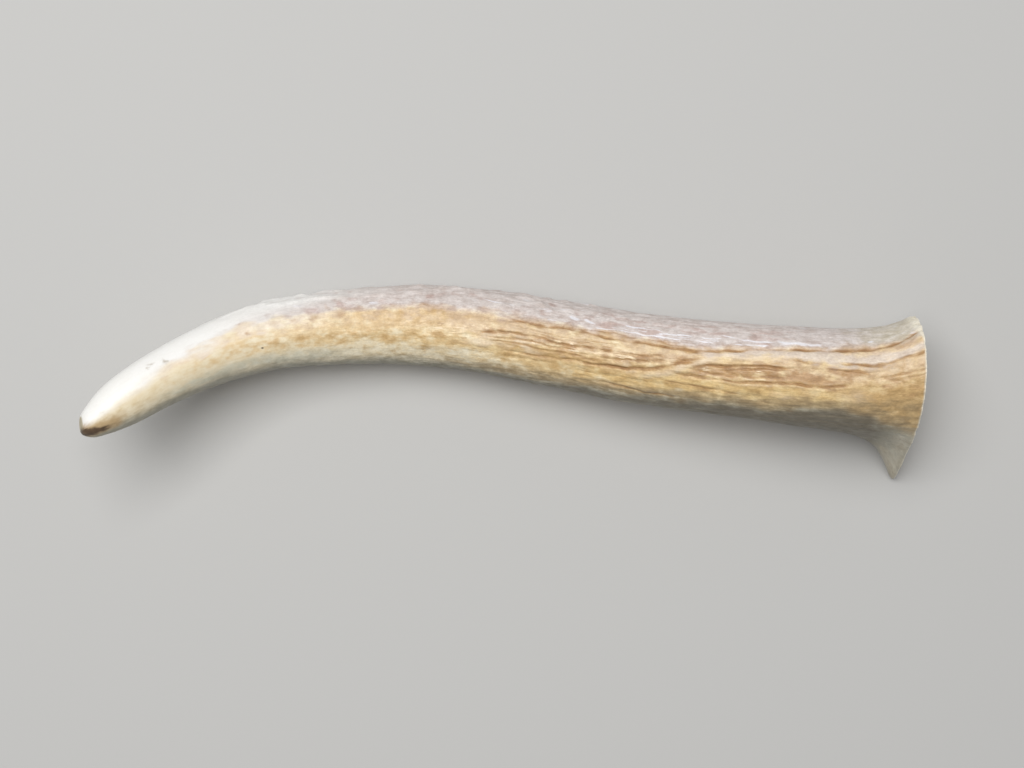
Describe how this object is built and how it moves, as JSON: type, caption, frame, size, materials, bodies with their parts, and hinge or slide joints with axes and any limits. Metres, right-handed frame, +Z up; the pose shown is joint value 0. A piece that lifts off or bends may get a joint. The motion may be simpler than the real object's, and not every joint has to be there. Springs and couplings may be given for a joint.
{
  "type": "antler tine",
  "caption": "Single curved deer antler tine with furrowed bark, a worn tip and a flared base sawn off flat, lying on its side.",
  "frame": {"origin": "on the ground, under the centre of the antler's bounding box", "axes": "+X runs the length of the antler from the tip to the saw cut and is the saw cut's outward normal, +Y points to the outer side of the bow, +Z is up from the ground it lies on"},
  "size_m": [0.2191, 0.0536, 0.0398],
  "materials": {
    "antler_bone": "dry antler bone, satin: ivory ridges and brown furrows towards the base, polished and near white towards the tip"
  },
  "bodies": {
    "root": {"antler": "antler_bone"}
  },
  "joints": []
}
